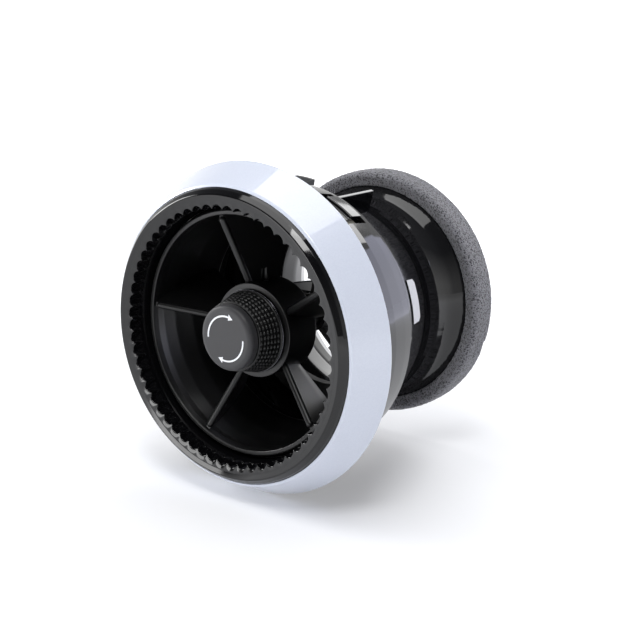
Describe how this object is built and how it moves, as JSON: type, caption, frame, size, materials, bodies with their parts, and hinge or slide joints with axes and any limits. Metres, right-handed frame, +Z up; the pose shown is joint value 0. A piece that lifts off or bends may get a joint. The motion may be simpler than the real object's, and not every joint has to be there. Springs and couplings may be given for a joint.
{
  "type": "dashboard air outlet",
  "caption": "Round swivelling air outlet: fluted black face in a pearl trim ring, spoked ball nozzle with a closing knob, housing, and a rear duct with a foam seal.",
  "frame": {"origin": "centre of the face, in the plane where the black bezel meets the trim ring", "axes": "Y is the outlet's axis, with the face looking along -Y and the duct along +Y; +Z is up as the object lies, and the side that faces up once installed is near +X"},
  "size_m": [0.1142, 0.0966, 0.1142],
  "materials": {
    "pearl_paint": "gloss pearl white paint on ABS",
    "gloss_black": "piano black moulded plastic",
    "matt_black": "fine-textured moulded plastic",
    "satin_black": "satin moulded plastic",
    "cap_grey": "soft matt plastic",
    "knurled_rubber": "knurled soft-touch rubber",
    "foam": "open-cell foam",
    "label_paper": "blank label",
    "white_ink": "pad print",
    "grey_felt": "felt",
    "natural_acetal": "acetal",
    "black_acetal": "acetal",
    "seal_rubber": "soft elastomer",
    "steel": "turned steel",
    "brass": "turned brass",
    "bright_ring": "satin chrome plating on plastic"
  },
  "bodies": {
    "housing": {"trim_ring": "pearl_paint", "front_bezel": "gloss_black", "fluted_ring": "gloss_black", "ball_retainer": "matt_black", "outlet_housing": "gloss_black", "rear_socket_ring": "natural_acetal", "felt_ring": "grey_felt", "retention_clip_1": "black_acetal", "retention_clip_2": "black_acetal", "retention_clip_3": "black_acetal", "retention_clip_4": "black_acetal", "rear_duct": "gloss_black", "duct_label": "label_paper", "foam_seal": "foam", "valve_spider": "matt_black", "fixed_yoke": "black_acetal", "hinge_rod": "steel"},
    "gimbal": {"gimbal_ring": "brass", "tilt_pin_right": "steel", "tilt_pin_left": "steel"},
    "nozzle": {"nozzle_barrel": "satin_black", "vane_wheel": "satin_black", "pan_pin_top": "steel", "pan_pin_bottom": "steel", "knob_bush": "natural_acetal"},
    "knob": {"knob_core": "black_acetal", "knob_sleeve": "knurled_rubber", "knob_base_ring": "bright_ring", "knob_cap": "cap_grey", "turn_arrow_upper": "white_ink", "turn_arrow_lower": "white_ink", "knob_spindle": "steel", "drive_pin": "steel"},
    "shaft": {"drive_shaft": "black_acetal", "shaft_clip": "steel", "bevel_pinion": "natural_acetal"},
    "upper_shutter": {"upper_flap": "matt_black", "upper_flap_gear": "natural_acetal", "upper_flap_seal": "seal_rubber"},
    "lower_shutter": {"lower_flap": "matt_black", "lower_flap_gear": "natural_acetal", "lower_flap_seal": "seal_rubber"}
  },
  "joints": [
    {"name": "tilt", "type": "hinge", "parent": "housing", "child": "gimbal", "pos_m": [0, 0.02, 0], "axis": [1, 0, 0], "range_deg": [-14, 14]},
    {"name": "pan", "type": "hinge", "parent": "gimbal", "child": "nozzle", "pos_m": [0, 0.02, 0], "axis": [0, 0, 1], "range_deg": [-14, 14]},
    {"name": "knob_turn", "type": "hinge", "parent": "nozzle", "child": "knob", "pos_m": [0, 0, 0], "axis": [0, 1, 0], "range_deg": [0, 90]},
    {"name": "shaft_turn", "type": "hinge", "parent": "housing", "child": "shaft", "pos_m": [0, 0.02, 0], "axis": [0, 1, 0], "range_deg": [0, 90]},
    {"name": "upper_flap_turn", "type": "hinge", "parent": "housing", "child": "upper_shutter", "pos_m": [0, 0.0575, 0], "axis": [1, 0, 0], "range_deg": [0, 90]},
    {"name": "lower_flap_turn", "type": "hinge", "parent": "housing", "child": "lower_shutter", "pos_m": [0, 0.0575, 0], "axis": [1, 0, 0], "range_deg": [-90, 0]}
  ],
  "couplings": [
    {"joint": "shaft_turn", "follows": "knob_turn", "ratio": 1},
    {"joint": "upper_flap_turn", "follows": "knob_turn", "ratio": 1},
    {"joint": "lower_flap_turn", "follows": "knob_turn", "ratio": -1}
  ]
}
